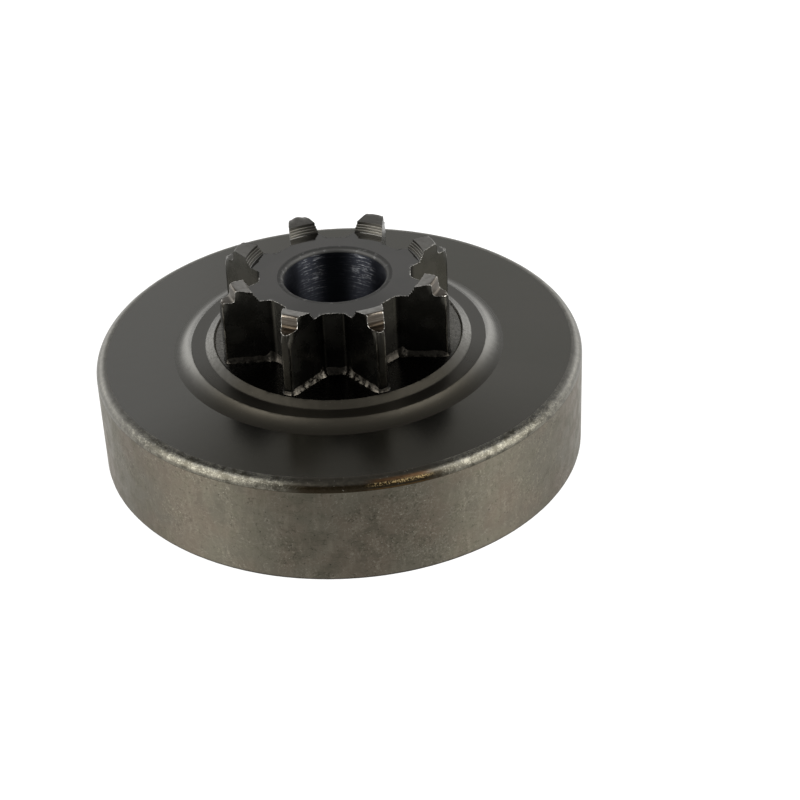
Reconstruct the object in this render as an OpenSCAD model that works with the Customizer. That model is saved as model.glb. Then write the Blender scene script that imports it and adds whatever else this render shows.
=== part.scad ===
// Clutch drum of a chainsaw with an eight-tooth spur sprocket brazed on its closed end.
// Millimetres. The drum stands on its open rim at z = 0 and +Z runs up the bore to the sprocket.

/* [Drum] */

// Outside diameter of the drum, where the brake band grips
drum_d = 72; // [60:1:87]
// Height from the open rim to the flat web face
drum_h = 16.4; // [13.6:0.1:24]
// Thickness of the turned side wall
wall_t = 2.5; // [2:0.1:3.5]
// Thickness of the web
web_t = 2.5; // [2:0.1:3.5]
// Radius of the outer corner between side wall and web
corner_r = 1.5; // [0.8:0.1:1.9]
// Radius of the inner corner under the web
inner_corner_r = 2; // [1:0.1:3]
// Roundness of the two edges of the open rim
rim_edge_r = 0.4; // [0.2:0.1:0.8]

/* [Boss] */

// Distance from the tooth tips out to the top edge of the crest
seat_margin = 0.85; // [0.8:0.05:1.5]
// Depth of the seat under the crest
seat_drop = 0.3; // [0.2:0.1:0.5]
// Height of the crest above the boss land
crest_h = 0.8; // [0.5:0.1:1.2]
// Width of the sloped crest
crest_w = 1.25; // [0.8:0.05:1.8]
// Width of the flat boss land
land_w = 2.1; // [1:0.1:3]
// Height of the boss land above the web face
boss_h = 1.1; // [0.8:0.1:1.8]
// Width of the concave flank outside the boss land
flank_w = 2.6; // [2:0.1:3.6]

/* [Sprocket] */

// Number of teeth
tooth_n = 8; // [7:1:9]
// Diameter over the tooth tips
tip_d = 35.2; // [33:0.1:42.4]
// Width of the narrow land at a tooth's tip, before its two edges are rounded
tip_land_w = 1.33; // [1:0.01:1.8]
// Radius of the two upright edges of a tooth's tip
tip_edge_r = 0.3; // [0.2:0.05:0.4]
// Lean of each tooth flank towards the tooth's middle, in degrees
flank_lean = 17.7; // [15:0.1:19]
// Depth of a tooth gap, from the tips in to its flat bottom
tooth_depth = 6.6; // [5.4:0.1:6.8]
// Radius of the two corners at the bottom of a tooth gap
gap_r = 1; // [0.8:0.1:1.2]
// Height from the boss land to the turned thrust face
face_rise = 10.5; // [8:0.1:14]
// Height of the prongs above the thrust face
prong_h = 1.9; // [1.5:0.1:2.4]
// Thickness of a prong, from its inner wall to its outer wall
prong_t = 2.45; // [1.9:0.05:2.6]
// Width of the outer shoulder, from the tooth tips in to the foot of the prongs
shoulder_w = 1.8; // [1.4:0.05:2.2]
// Width of the stepped foot inside the prongs
foot_w = 0.75; // [0.6:0.05:0.9]
// Drop of the outer shoulder to its lip at the tooth tip
lip_drop = 0.15; // [0.1:0.05:0.4]

/* [Hub and bore] */

// Bore of the needle bearing
bore_d = 15; // [12:0.1:18]
// Radius of the rounded entry at the thrust face
bore_entry_r = 0.6; // [0.3:0.1:0.8]
// Diameter of the hub that goes through the web
hub_d = 21; // [20.4:0.1:25.2]
// How far the hub stands out under the boss, inside the cup
hub_out = 1.6; // [0.8:0.1:2.4]
// Play between hub and web, filled by capillary braze
hub_play = 0.05; // [0.03:0.01:0.08]

/* [Braze] */

// Width of the braze fillet on the seat
braze_w = 0.5; // [0.3:0.1:0.6]
// Height of the braze fillet on the tooth flanks
braze_h = 1; // [0.5:0.1:1.2]
// Height of the braze fillet in the corners of a tooth gap
corner_braze_h = 1.9; // [1:0.1:2.4]
// Height of the braze fillet on the flat bottom of a tooth gap
floor_braze_h = 1.2; // [0.8:0.1:1.6]

/* [Hidden] */

$fn = 96;
turned_fn = 128;
eps = 0.01;
// Depth to which one form is sunk into the form that carries it.
sink = 1;

// Heights, from the open rim up.
land_z = drum_h + boss_h;
crest_z = land_z + crest_h;
seat_z = crest_z - seat_drop;
cup_h = drum_h - web_t;
recess_h = seat_z - web_t;
hub_z = recess_h - hub_out;
face_z = land_z + face_rise;
prong_z = face_z + prong_h;

// Radii of the sprocket, from the tips in.
tip_r = tip_d / 2;
shoulder_r = tip_r - shoulder_w;
prong_lean = 0.1;
prong_out_r = shoulder_r - prong_lean;
prong_in_r = prong_out_r - prong_t;
face_r = prong_in_r - foot_w;
bore_r = bore_d / 2;
hub_r = hub_d / 2;

// Radii of the boss, from the tips out.
crest_r = tip_r + seat_margin;
crest_in_w = 0.35;
land_in_r = crest_r + crest_w;
land_out_r = land_in_r + land_w;
flank_arc_r = (flank_w * flank_w + boss_h * boss_h) / (2 * boss_h);

// Inside of the cup.
drum_r = drum_d / 2;
cup_r = drum_r - wall_t;
recess_in = 1;
recess_slope_w = 1.2;
recess_r = land_out_r - recess_in;
hub_hole_r = hub_r + hub_play;

// Small forms of the sprocket.
prong_top_r = 0.35;
step_n = 3;
step_w = foot_w / step_n;
step_h = prong_h / 6;
top_bevel_w = 0.65;
top_bevel_h = 0.24 * prong_h;
top_fall = 0.08;
lip_w = 0.5;
shoulder_fillet = 0.5;
hub_chamfer = 0.5;
bore_chamfer = 0.6;

// Plan of one tooth gap, seen with the gap's middle line along +X.
pitch = 360 / tooth_n;
half_pitch = pitch / 2;
tip_half_angle = asin(tip_land_w / 2 / tip_r);
tip_edge_angle = half_pitch - tip_half_angle;
tip_x = tip_r * cos(tip_edge_angle);
tip_y = tip_r * sin(tip_edge_angle);
wall_dir = half_pitch + flank_lean;
gap_floor = tip_r - tooth_depth;
arc_x = gap_floor + gap_r;
arc_y = tip_y + ((arc_x - tip_x) * sin(wall_dir) - gap_r) / cos(wall_dir);
tangent_x = arc_x - gap_r * sin(wall_dir);
tangent_y = arc_y + gap_r * cos(wall_dir);
// Middle of the rounding of a tip edge, and the direction in which it meets the tip circle.
edge_off = tip_x * sin(wall_dir) - tip_y * cos(wall_dir) - tip_edge_r;
edge_along = sqrt(pow(tip_r - tip_edge_r, 2) - edge_off * edge_off);
edge_x = edge_off * sin(wall_dir) + edge_along * cos(wall_dir);
edge_y = edge_along * sin(wall_dir) - edge_off * cos(wall_dir);
edge_dir = atan2(edge_y, edge_x);
wall_end_x = edge_x + tip_edge_r * sin(wall_dir);
wall_end_y = edge_y - tip_edge_r * cos(wall_dir);
wall_len = norm([wall_end_x - tangent_x, wall_end_y - tangent_y]);
// The first gap opens towards -Y.
first_gap = -90;

// Shares of the braze fillet's width and height, where it swells and thins.
corner_swell = 1.2;
edge_share = 0.8;
tip_w_share = 0.5;
tip_h_share = 0.4;
wall_dip = 0.15;
wall_steps = 6;
corner_steps = 4;
edge_steps = 3;
tip_steps = 3;

steel_drum = [0.42, 0.41, 0.40];
steel_sprocket = [0.36, 0.36, 0.35];
braze_colour = [0.60, 0.56, 0.50];

// Drum

// A rectangle in half section whose outer top corner is a quarter round.
module rounded_block(x0, x1, y0, y1, r_top) {
    difference() {
        translate([x0, y0]) square([x1 - x0, y1 - y0]);
        translate([x1 - r_top, y1 - r_top]) square([r_top + eps, r_top + eps]);
    }
    intersection() {
        translate([x1 - r_top, y1 - r_top]) circle(r = r_top);
        translate([x1 - r_top, y1 - r_top]) square([r_top, r_top]);
    }
}

// Land, concave flank, crest and seat, on top of the web.
module boss_profile() {
    difference() {
        translate([0, drum_h - sink]) square([land_out_r + flank_w, boss_h + sink]);
        translate([land_out_r + flank_w, drum_h + flank_arc_r]) circle(r = flank_arc_r);
    }
    polygon([
        [0, drum_h - sink], [land_in_r, drum_h - sink], [land_in_r, land_z],
        [crest_r, crest_z], [crest_r - crest_in_w, seat_z], [0, seat_z],
    ]);
}

// The hollow under the web, with the recess pressed up into the boss.
module cup_profile() {
    rounded_block(-sink, cup_r, -sink, cup_h, inner_corner_r);
    polygon([
        [-sink, cup_h - sink], [recess_r + recess_slope_w, cup_h - sink], [recess_r + recess_slope_w, cup_h],
        [recess_r, recess_h], [-sink, recess_h],
    ]);
}

// What comes off one edge of the open rim to round it; side is 1 for the outer edge, -1 for the inner.
module rim_edge_cut(r_edge, side) {
    difference() {
        translate([r_edge - (side > 0 ? rim_edge_r : eps), -eps]) square([rim_edge_r + eps, rim_edge_r + eps]);
        translate([r_edge - side * rim_edge_r, rim_edge_r]) circle(r = rim_edge_r);
    }
}

module clutch_drum() {
    color(steel_drum)
    rotate_extrude($fn = turned_fn)
    difference() {
        union() {
            rounded_block(0, drum_r, 0, drum_h, corner_r);
            boss_profile();
        }
        cup_profile();
        translate([-sink, -sink]) square([hub_hole_r + sink, crest_z + 2 * sink]);
        rim_edge_cut(drum_r, 1);
        rim_edge_cut(cup_r, -1);
    }
}

// Sprocket

// One tooth gap in plan, opening outwards along +X with a flat bottom and two round corners.
module gap_plan() {
    reach_x = tangent_x + tip_r * cos(wall_dir);
    reach_y = tangent_y + tip_r * sin(wall_dir);
    polygon([
        [gap_floor, -arc_y], [gap_floor, arc_y], [tangent_x, tangent_y],
        [reach_x, reach_y], [reach_x, -reach_y], [tangent_x, -tangent_y],
    ]);
    for (s = [-1, 1]) translate([arc_x, s * arc_y]) circle(r = gap_r);
}

// What comes off one upright edge of a tooth's tip to round it; side is 1 or -1.
module tip_edge_cut(side) {
    reach = tip_edge_r + eps;
    difference() {
        polygon([
            [edge_x, side * edge_y],
            [edge_x + reach * sin(wall_dir), side * (edge_y - reach * cos(wall_dir))],
            [tip_x * (1 + eps), side * tip_y * (1 - eps)],
            [edge_x + reach * cos(edge_dir), side * (edge_y + reach * sin(edge_dir))],
        ]);
        translate([edge_x, side * edge_y]) circle(r = tip_edge_r);
    }
}

module star_plan() {
    difference() {
        circle(r = tip_r);
        for (i = [0 : tooth_n - 1]) rotate(first_gap + i * pitch) {
            gap_plan();
            for (side = [-1, 1]) tip_edge_cut(side);
        }
    }
}

// Half section of the turned sprocket above the seat: thrust face, stepped foot, prong, shoulder and lip.
module turned_profile() {
    steps = [for (k = [1 : step_n]) for (p = [
        [face_r + (k - 1) * step_w, face_z + k * step_h], [face_r + k * step_w, face_z + k * step_h],
    ]) p];
    difference() {
        union() {
            polygon([
                [bore_r - sink, seat_z], [tip_r + sink, seat_z], [tip_r + sink, face_z - lip_drop],
                [tip_r, face_z - lip_drop], [tip_r - lip_w, face_z], [bore_r - sink, face_z],
            ]);
            polygon(concat([[face_r, face_z - sink]], steps, [
                [prong_in_r, prong_z - top_bevel_h], [prong_in_r + top_bevel_w, prong_z - top_fall],
                [prong_out_r - prong_top_r, prong_z], [prong_out_r, prong_z - prong_top_r],
                [shoulder_r, face_z], [shoulder_r, face_z - sink],
            ]));
            intersection() {
                translate([prong_out_r - prong_top_r, prong_z - prong_top_r]) circle(r = prong_top_r);
                translate([prong_out_r - prong_top_r, prong_z - prong_top_r]) square([prong_top_r, prong_top_r]);
            }
            difference() {
                translate([shoulder_r - eps, face_z - eps]) square([shoulder_fillet + eps, shoulder_fillet + eps]);
                translate([shoulder_r + shoulder_fillet, face_z + shoulder_fillet]) circle(r = shoulder_fillet);
            }
        }
        translate([0, seat_z - sink]) square([bore_r, prong_z - seat_z + 2 * sink]);
        difference() {
            translate([bore_r - eps, face_z - bore_entry_r]) square([bore_entry_r + eps, bore_entry_r + eps]);
            translate([bore_r + bore_entry_r, face_z - bore_entry_r]) circle(r = bore_entry_r);
        }
    }
}

module hub_profile() {
    polygon([
        [bore_r, hub_z + bore_chamfer], [bore_r + bore_chamfer, hub_z], [hub_r - hub_chamfer, hub_z],
        [hub_r, hub_z + hub_chamfer], [hub_r, seat_z], [bore_r, seat_z],
    ]);
}

module spur_sprocket() {
    color(steel_sprocket) {
        intersection() {
            translate([0, 0, seat_z]) linear_extrude(prong_z - seat_z + sink) star_plan();
            rotate_extrude($fn = turned_fn) turned_profile();
        }
        rotate_extrude($fn = turned_fn) hub_profile();
    }
}

// Braze

// A station of the fillet: a point on the foot of a tooth, the direction away from the tooth, width, height.
function station(x, y, dir, w, h) = [x, y, dir, w, h];

// Half of one gap's fillet, from the middle of the gap's bottom out to the rounded edge of the tooth's tip.
function half_gap_stations() = concat(
    [for (k = [0 : 1]) station(gap_floor, arc_y * k / 2, 0, braze_w, floor_braze_h)],
    [for (k = [0 : corner_steps])
        let (a = k / corner_steps * (90 - wall_dir))
        station(arc_x - gap_r * cos(a), arc_y + gap_r * sin(a), -a, braze_w * corner_swell,
            floor_braze_h + (corner_braze_h - floor_braze_h) * sin(180 * k / corner_steps))],
    [for (k = [1 : wall_steps - 1])
        let (t = wall_len * k / wall_steps)
        station(tangent_x + t * cos(wall_dir), tangent_y + t * sin(wall_dir), wall_dir - 90,
            braze_w, braze_h * (1 - wall_dip * sin(120 * k)))],
    [for (k = [0 : edge_steps])
        let (a = wall_dir - 90 + (edge_dir - wall_dir + 90) * k / edge_steps)
        station(edge_x + tip_edge_r * cos(a), edge_y + tip_edge_r * sin(a), a,
            braze_w * (edge_share + (tip_w_share - edge_share) * k / edge_steps),
            braze_h * (edge_share + (tip_h_share - edge_share) * k / edge_steps))]
);

// The narrow land of a tooth's tip, between its two rounded edges.
function tip_stations() =
    [for (k = [1 : tip_steps - 1])
        let (a = edge_dir + 2 * (half_pitch - edge_dir) * k / tip_steps)
        station(tip_r * cos(a), tip_r * sin(a), a, braze_w * tip_w_share, braze_h * tip_h_share)];

function mirrored(st) = station(st[0], -st[1], -st[2], st[3], st[4]);
function turned(st, a) = station(
    st[0] * cos(a) - st[1] * sin(a), st[0] * sin(a) + st[1] * cos(a), st[2] + a, st[3], st[4]);

function gap_stations() =
    let (half = half_gap_stations())
    concat([for (k = [len(half) - 1 : -1 : 1]) mirrored(half[k])], half, tip_stations());

module braze_fillet() {
    one = gap_stations();
    stations = [for (i = [0 : tooth_n - 1]) for (st = one) turned(st, first_gap + i * pitch)];
    count = len(stations);
    // Section with a hollow face, as shares of the width and of the height.
    section = [[0, 0], [1, 0], [0.32, 0.36], [0, 1]];
    corners = len(section);
    points = [for (st = stations) for (p = section)
        [st[0] + p[0] * st[3] * cos(st[2]), st[1] + p[0] * st[3] * sin(st[2]), p[1] * st[4]]];
    faces = [for (i = [0 : count - 1]) for (j = [0 : corners - 1])
        let (a = i * corners, b = (i + 1) % count * corners, n = (j + 1) % corners)
        for (f = [[a + j, b + j, b + n], [a + j, b + n, a + n]]) f];
    color(braze_colour)
    translate([0, 0, seat_z])
    polyhedron(points = points, faces = faces, convexity = 8);
}

clutch_drum();
spur_sprocket();
braze_fillet();
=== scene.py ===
"""Looks of a chainsaw clutch drum with an eight-tooth spur sprocket brazed on it.

Sizes below are millimetres and degrees; meshes and lamps are turned into metres as they are made.
"""
import math

import bpy
import numpy as np
from mathutils import Matrix, Vector, noise


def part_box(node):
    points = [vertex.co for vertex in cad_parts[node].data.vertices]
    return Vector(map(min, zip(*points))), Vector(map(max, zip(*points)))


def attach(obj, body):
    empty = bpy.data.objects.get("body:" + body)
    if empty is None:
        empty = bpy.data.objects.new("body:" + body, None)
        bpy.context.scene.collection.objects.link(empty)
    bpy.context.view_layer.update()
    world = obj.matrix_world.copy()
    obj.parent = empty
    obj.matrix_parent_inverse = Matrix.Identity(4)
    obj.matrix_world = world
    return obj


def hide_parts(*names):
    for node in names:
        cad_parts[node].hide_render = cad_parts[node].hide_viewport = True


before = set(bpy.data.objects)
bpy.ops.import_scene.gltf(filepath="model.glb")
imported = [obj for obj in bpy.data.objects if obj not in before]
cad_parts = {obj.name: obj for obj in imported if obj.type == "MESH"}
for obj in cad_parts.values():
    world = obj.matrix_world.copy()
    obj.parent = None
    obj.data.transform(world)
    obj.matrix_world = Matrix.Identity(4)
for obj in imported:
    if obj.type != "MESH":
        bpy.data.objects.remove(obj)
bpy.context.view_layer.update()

MM = 0.001


def size_mm(node):
    """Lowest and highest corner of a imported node, in millimetres."""
    return [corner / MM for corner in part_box(node)]


# Sizes that the frame gives
drum_high = size_mm("clutch_drum")[1]
sprocket_low, sprocket_high = size_mm("spur_sprocket")
DRUM_R = drum_high.x
CREST_Z = drum_high.z
PRONG_Z = sprocket_high.z
HUB_Z = sprocket_low.z

# Drum, from the open rim up
WALL_T = 2.5
WEB_T = 2.5
CORNER_R = 1.5
INNER_CORNER_R = 2.0
RIM_EDGE_R = 0.4
CREST_H = 0.8
BOSS_H = 1.1
SEAT_DROP = 0.3
LAND_Z = CREST_Z - CREST_H
WEB_Z = LAND_Z - BOSS_H
SEAT_Z = CREST_Z - SEAT_DROP
CUP_R = DRUM_R - WALL_T

# Sprocket
TOOTH_N = 8
TIP_R = 17.6
TIP_LAND_W = 1.33
FLANK_LEAN = 17.7
GAP_FLOOR = 11.0
GAP_R = 1.0
TIP_EDGE_R = 0.3
PRONG_H = 1.9
FACE_Z = PRONG_Z - PRONG_H
SHOULDER_R = 15.8
PRONG_OUT_R = 15.7
PRONG_IN_R = 13.4
FACE_R = 12.75
STEP_N = 3
PRONG_TOP_R = 0.35
STEP_H = 0.33
TOP_FALL = 0.4
SHOULDER_FILLET = 0.5
LIP_W = 0.5
LIP_DROP = 0.15
BORE_R = 7.5
BORE_ENTRY_R = 0.6
HUB_R = 10.5
HUB_CHAMFER = 0.5
BORE_CHAMFER = 0.6
HUB_PLAY = 0.05

# Boss, from the tips out
CREST_R = TIP_R + 0.85
SEAT_R = CREST_R - 0.35
LAND_IN_R = CREST_R + 1.25
LAND_OUT_R = LAND_IN_R + 2.1
FLANK_W = 2.6
RECESS_R = LAND_OUT_R - 1.0
RECESS_SLOPE_W = 1.2

# Middle azimuth of the near side, where painted shade darkens several surfaces and painted highlights
# brighten the burrs
NEAR_SIDE_AZ = -86.0

# Corners that are worn round: radius, height, how far the wear reaches, and how far it pushes aside,
# inward and down
PRONG_CORNER = (PRONG_OUT_R, PRONG_Z, 0.9, 0.14, 0.0, 0.12)
TIP_CORNER = (TIP_R, FACE_Z - LIP_DROP, 1.0, 0.20, 0.26, 0.04)
WORN_CORNER = (PRONG_OUT_R, PRONG_Z, 1.3, 0.32, 0.0, 0.36)
WORN_TOOTH_AZ = 112.5

# Middle azimuths of the two streaks in the bore where scratches are painted brighter as highlights
SHEEN_STREAK_AZ = (119.0, 58.0)

# Heat tint on the drum's corner and the painted shade round it: middle azimuths, and how far each reaches
# to either side
HEAT_AZ = -75.8
HEAT_SPAN = 8.5
CORNER_SHADE_AZ = -83.0
CORNER_SHADE_SPAN = 22.0

# Studio: where the camera and the two softboxes stand, and the painted shadow on the floor below the bore
CAMERA_AZ = -87.15
CAMERA_EL = 33.16
SOFTBOX_ASIDE = 66.0
SOFTBOX_EL = 30.0
SOFTBOX_AWAY_M = 0.9
SOFTBOX_SIZE_M = (0.62, 0.95)
SOFTBOX_POWER = 10.0
SOFTBOX_COLOUR = (1.0, 0.98, 0.94)
FLOOR_HALF_M = 3.0
SHADOW_DISC_R = 24.0

# Plan of a tooth gap, seen with the gap's middle line along +X
PITCH = 360.0 / TOOTH_N
FIRST_GAP = -90.0
TIP_HALF_ANGLE = math.degrees(math.asin(TIP_LAND_W / 2 / TIP_R))
TIP_EDGE_ANGLE = PITCH / 2 - TIP_HALF_ANGLE
WALL_DIR = PITCH / 2 + FLANK_LEAN


def cosd(a):
    return math.cos(math.radians(a))


def sind(a):
    return math.sin(math.radians(a))


def arc(cx, cz, r, a0, a1, steps):
    """Points on an arc, both ends included."""
    return [(cx + r * cosd(a0 + (a1 - a0) * k / steps), cz + r * sind(a0 + (a1 - a0) * k / steps))
            for k in range(steps + 1)]


def stretch(p, q, steps):
    """Points on a straight stretch, both ends included."""
    return [(p[0] + (q[0] - p[0]) * k / steps, p[1] + (q[1] - p[1]) * k / steps) for k in range(steps + 1)]


def ripple(x, y, z, grain, seed):
    """Smooth noise from -1 to 1 at a point in millimetres, with bumps about one grain wide."""
    return noise.noise(Vector((x / grain + 17.0 * seed, y / grain - 9.0 * seed, z / grain + 5.0 * seed)))


def new_piece(name, points, faces, zones, materials, node, sharp):
    """Makes a mesh object in metres that stands for a CAD node, with one material for each zone."""
    mesh = bpy.data.meshes.new(name)
    mesh.from_pydata([tuple(c * MM for c in p) for p in points], [], faces)
    for m in materials:
        mesh.materials.append(m)
    mesh.polygons.foreach_set("material_index", zones)
    mesh.polygons.foreach_set("use_smooth", [True] * len(faces))
    mesh.update()
    mesh.set_sharp_from_angle(angle=math.radians(sharp))
    piece = bpy.data.objects.new(name, mesh)
    bpy.context.scene.collection.objects.link(piece)
    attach(piece, "root")
    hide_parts(node)


# Node graphs


def feed(tree, socket, value):
    """Links an input to another node's output, or sets it to a plain value."""
    if isinstance(value, bpy.types.NodeSocket):
        tree.links.new(value, socket)
    else:
        socket.default_value = value


def add(tree, kind, ins=None, **settings):
    """A node, with its settings and with its inputs linked or set."""
    made = tree.nodes.new(kind)
    for key, value in settings.items():
        setattr(made, key, value)
    for key, value in (ins or {}).items():
        feed(tree, made.inputs[key], value)
    return made


def calc(tree, operation, a, b=0.0):
    return add(tree, "ShaderNodeMath", {0: a, 1: b}, operation=operation).outputs[0]


def times(tree, a, b):
    return calc(tree, "MULTIPLY", a, b)


def blend_colour(tree, share, a, b):
    """Colour a, with b laid over it by a share from 0 to 1."""
    return add(tree, "ShaderNodeMix", {0: share, 6: a, 7: b}, data_type="RGBA").outputs[2]


def coats(tree, tint, *layers):
    """A colour with (share, colour) layers laid over it in turn."""
    for share, colour in layers:
        tint = blend_colour(tree, share, tint, colour)
    return tint


def ramp(tree, value, low, high, to_low=0.0, to_high=1.0):
    """Maps value smoothly from low..high to to_low..to_high, held at both ends."""
    ins = {0: value, 1: low, 2: high, 3: to_low, 4: to_high}
    return add(tree, "ShaderNodeMapRange", ins, interpolation_type="SMOOTHSTEP").outputs[0]


def spread(tree, value, middle, down, up):
    """Turns noise into a value from middle - down to middle + up."""
    return ramp(tree, value, 0.3, 0.7, middle - down, middle + up)


def grain(tree, vector, scale, detail=2.0, rough=0.5):
    """Noise from 0 to 1, about 0.5 on average."""
    ins = {"Vector": vector, "Scale": scale, "Detail": detail, "Roughness": rough}
    return add(tree, "ShaderNodeTexNoise", ins, noise_dimensions="3D").outputs["Fac"]


def specks(tree, vector, scale, size):
    """1 in small round specks, 0 between them."""
    ins = {"Vector": vector, "Scale": scale, "Randomness": 1.0}
    cells = add(tree, "ShaderNodeTexVoronoi", ins, feature="F1")
    return ramp(tree, cells.outputs["Distance"], size, size * 0.4)


def hairlines(tree, vector, scale, width):
    """1 along thin wandering lines, 0 between them."""
    off = calc(tree, "ABSOLUTE", calc(tree, "SUBTRACT", grain(tree, vector, scale, 2.0, 0.45), 0.5))
    return ramp(tree, off, width, width * 0.3)


def scaled(tree, vector, factors):
    """A vector with its three parts multiplied."""
    return add(tree, "ShaderNodeVectorMath", {0: vector, 1: factors}, operation="MULTIPLY").outputs[0]


def along(tree, vector, direction):
    """How far a vector reaches in a direction."""
    ins = {0: vector, 1: direction}
    return add(tree, "ShaderNodeVectorMath", ins, operation="DOT_PRODUCT").outputs["Value"]


class Place:
    """Where a shading point is: its place in millimetres and its distance from the axis."""

    def __init__(self, tree):
        self.tree = tree
        here = add(tree, "ShaderNodeTexCoord").outputs["Object"]
        self.mm = scaled(tree, here, (1 / MM, 1 / MM, 1 / MM))
        parts = add(tree, "ShaderNodeSeparateXYZ", {0: self.mm})
        self.x, self.y, self.z = parts.outputs
        flat = add(tree, "ShaderNodeCombineXYZ", {0: self.x, 1: self.y, 2: 0.0}).outputs[0]
        self.r = add(tree, "ShaderNodeVectorMath", {0: flat}, operation="LENGTH").outputs["Value"]

    def turned(self, across, round_axis, by="r"):
        """A vector whose noise makes rings, with one scale across them and one round the axis."""
        return add(self.tree, "ShaderNodeCombineXYZ", {
            0: times(self.tree, self.x, round_axis),
            1: times(self.tree, self.y, round_axis),
            2: times(self.tree, self.r if by == "r" else self.z, across),
        }).outputs[0]


def near_azimuth(tree, p, azimuth, reach, core):
    """1 within core degrees of an azimuth, 0 beyond reach."""
    angle = calc(tree, "ARCTAN2", p.y, p.x)
    aside = calc(tree, "ABSOLUTE", calc(tree, "ADD", angle, math.radians(-azimuth)))
    return ramp(tree, aside, math.radians(reach), math.radians(core))


def band(tree, value, low, high, soft):
    """1 between low and high, 0 outside, with soft edges."""
    above = ramp(tree, value, low - soft, low + soft)
    return times(tree, above, ramp(tree, value, high + soft, high - soft))


def metal(name, colour, roughness, build, brushed=0.0):
    """A metal whose colour, roughness and relief come from a build function.

    The relief is a list of heights and their depths in millimetres. A brushed metal has rings of
    turning marks round Z, which stretch its highlights across the rings.
    """
    material = bpy.data.materials.new(name)
    material.use_nodes = True
    tree = material.node_tree
    tree.nodes.clear()
    shader = add(tree, "ShaderNodeBsdfPrincipled", {"Metallic": 1.0})
    add(tree, "ShaderNodeOutputMaterial", {"Surface": shader.outputs[0]})
    tint, rough, relief = build(tree, Place(tree), colour, roughness)
    feed(tree, shader.inputs["Base Color"], tint)
    feed(tree, shader.inputs["Roughness"], rough)
    if brushed:
        rings = add(tree, "ShaderNodeTangent", direction_type="RADIAL", axis="Z")
        feed(tree, shader.inputs["Tangent"], rings.outputs[0])
        feed(tree, shader.inputs["Anisotropic"], brushed)
        feed(tree, shader.inputs["Anisotropic Rotation"], 0.25)
    ins = {"Strength": 1.0}
    for height, depth in relief:
        ins.update({"Height": height, "Distance": depth * MM})
        ins["Normal"] = add(tree, "ShaderNodeBump", ins).outputs[0]
    if relief:
        feed(tree, shader.inputs["Normal"], ins["Normal"])
    return material


def rgb(r, g, b):
    return (r, g, b, 1.0)


# Drum materials


def web_looks(tree, p, colour, roughness):
    """Satin web, duller near the front, where painted shade makes it olive-black, and made lighter toward
    -X by painted light.
    """
    cloud = grain(tree, p.mm, 0.07, 3.0)
    rings = grain(tree, p.turned(5.0, 0.03), 1.0, 2.0)
    pits = specks(tree, p.mm, 0.9, 0.10)
    # Painted shade: this mask darkens the web to olive-black round the near side.
    near_shade = near_azimuth(tree, p, NEAR_SIDE_AZ, 66.0, 14.0)
    tint = coats(
        tree, colour,
        (ramp(tree, cloud, 0.35, 0.65), rgb(0.130, 0.127, 0.116)),
        # Painted light: this layer makes the web lighter toward the left side (-X).
        (ramp(tree, p.x, -4.0, -30.0, 0.0, 0.8), rgb(0.175, 0.174, 0.166)),
        (times(tree, near_shade, 0.85), rgb(0.052, 0.049, 0.040)),
        (times(tree, pits, 0.25), rgb(0.06, 0.06, 0.06)),
    )
    rough = spread(tree, cloud, roughness, 0.02, 0.03)
    rough = calc(tree, "ADD", rough, spread(tree, rings, 0.0, 0.008, 0.008))
    rough = calc(tree, "ADD", rough, times(tree, near_shade, 0.07))
    return tint, rough, [(grain(tree, p.mm, 0.25, 2.0), 0.005), (pits, -0.002)]


def boss_looks(tree, p, colour, roughness):
    """Turned boss, frosted on its crest and edge, duller near the front, where painted shade makes it dark
    brown.
    """
    rings = grain(tree, p.turned(6.0, 0.05), 1.0, 2.0)
    fleck = specks(tree, p.mm, 1.6, 0.12)
    # Painted shade: this mask makes the boss dark brown round the near side.
    near_shade = near_azimuth(tree, p, NEAR_SIDE_AZ, 85.0, 45.0)
    frost = grain(tree, p.mm, 3.2, 3.0, 0.65)
    crest = band(tree, p.r, CREST_R, LAND_IN_R, 0.1)
    edge = band(tree, p.r, LAND_OUT_R - 0.10, LAND_OUT_R + 0.10, 0.06)
    rub = times(tree, calc(tree, "MAXIMUM", crest, edge), ramp(tree, frost, 0.42, 0.58, 0.35, 0.95))
    tint = coats(
        tree, colour,
        (times(tree, near_shade, 0.93), rgb(0.040, 0.036, 0.028)),
        (times(tree, fleck, 0.3), rgb(0.19, 0.18, 0.16)),
        (times(tree, rub, calc(tree, "SUBTRACT", 1.0, near_shade)), rgb(0.075, 0.073, 0.066)),
    )
    rough = calc(tree, "ADD", spread(tree, rings, roughness, 0.02, 0.02), times(tree, near_shade, 0.22))
    return tint, rough, [(rings, 0.001), (grain(tree, p.mm, 0.8, 2.0), 0.004)]


def seat_looks(tree, p, colour, roughness):
    """Rough seat, black near the front with painted shade, and speckled grey to the sides."""
    lumps = grain(tree, p.mm, 2.5, 4.0, 0.65)
    fleck = specks(tree, p.mm, 2.4, 0.16)
    # Painted shade: this mask turns the seat black round the near side, where its given colour is laid.
    near_shade = near_azimuth(tree, p, NEAR_SIDE_AZ, 85.0, 50.0)
    tint = coats(
        tree, rgb(0.125, 0.122, 0.114),
        (ramp(tree, lumps, 0.35, 0.65), rgb(0.23, 0.225, 0.21)),
        (near_shade, colour),
        (times(tree, fleck, ramp(tree, near_shade, 0.0, 1.0, 0.3, 0.08)), rgb(0.22, 0.21, 0.19)),
    )
    return tint, spread(tree, lumps, roughness, 0.06, 0.1), [(lumps, 0.012)]


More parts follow.
